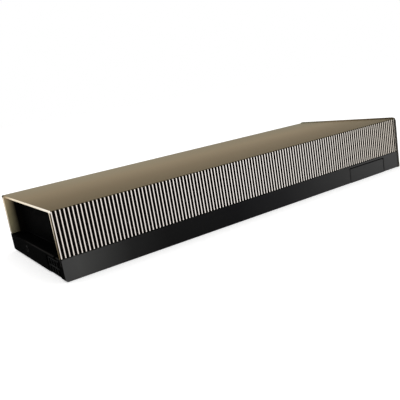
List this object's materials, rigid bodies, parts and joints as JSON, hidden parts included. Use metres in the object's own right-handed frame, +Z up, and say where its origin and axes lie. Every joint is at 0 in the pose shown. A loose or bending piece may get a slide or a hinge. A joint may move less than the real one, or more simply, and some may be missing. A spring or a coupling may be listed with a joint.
{
  "type": "passive accelerator card",
  "caption": "Fanless dual-slot accelerator card for servers: bronze ribbed air-duct shroud on a black base, lying on its backplate, open at one end.",
  "frame": {"origin": "middle of the card's footprint, on the face that it lies on", "axes": "+X from the open tail to the mounting bracket, +Y towards the edge contacts, +Z up through the shroud's top"},
  "size_m": [0.2782, 0.1208, 0.0378],
  "materials": {
    "bronze_anodised": "satin champagne bronze, brushed along the card, polished edges",
    "black_coated": "satin black coating with a very fine grain",
    "dark_coated": "satin dark grey coating",
    "bracket_plated": "dull plated steel",
    "board_laminate": "dark solder resist",
    "contact_gold": "gold plating",
    "black_plastic": "moulded, fine texture",
    "pin_tinned": "bright tin plating",
    "insert_nickel": "bright nickel plating",
    "package_substrate": "laminate with resist",
    "ring_steel": "plain stamped steel",
    "silicon_dark": "polished silicon",
    "mould_black": "moulding compound",
    "paste_grey": "smooth paste",
    "copper_plated": "nickel plated, dull",
    "fin_black": "dark satin",
    "foam_black": "closed-cell foam",
    "ferrite_grey": "pressed ferrite",
    "pad_grey": "soft pad",
    "capacitor_case": "moulded case",
    "spring_steel": "bare spring steel",
    "screw_black": "black oxide",
    "screw_steel": "plated"
  },
  "bodies": {
    "root": {"shroud": "bronze_anodised", "base_frame": "black_coated", "backplate": "black_coated", "exhaust_frame": "dark_coated", "mounting_bracket": "bracket_plated", "circuit_board": "board_laminate", "edge_contacts": "contact_gold", "bridge_contacts": "contact_gold", "bridge_cover": "black_plastic", "power_socket": "black_plastic", "power_pins": "pin_tinned", "tail_insert": "insert_nickel", "processor_package": "package_substrate", "package_ring": "ring_steel", "processor_die": "silicon_dark", "memory_stacks": "mould_black", "thermal_paste": "paste_grey", "cold_plate": "copper_plated", "fin_stack": "fin_black", "foam_seal": "foam_black", "coils": "ferrite_grey", "power_stages": "mould_black", "thermal_pads": "pad_grey", "capacitors": "capacitor_case", "control_chips": "mould_black", "leaf_spring": "spring_steel", "backplate_screws": "screw_black", "heatsink_screws": "screw_steel", "shroud_screws": "screw_black", "bracket_screws": "screw_steel"}
  },
  "joints": []
}
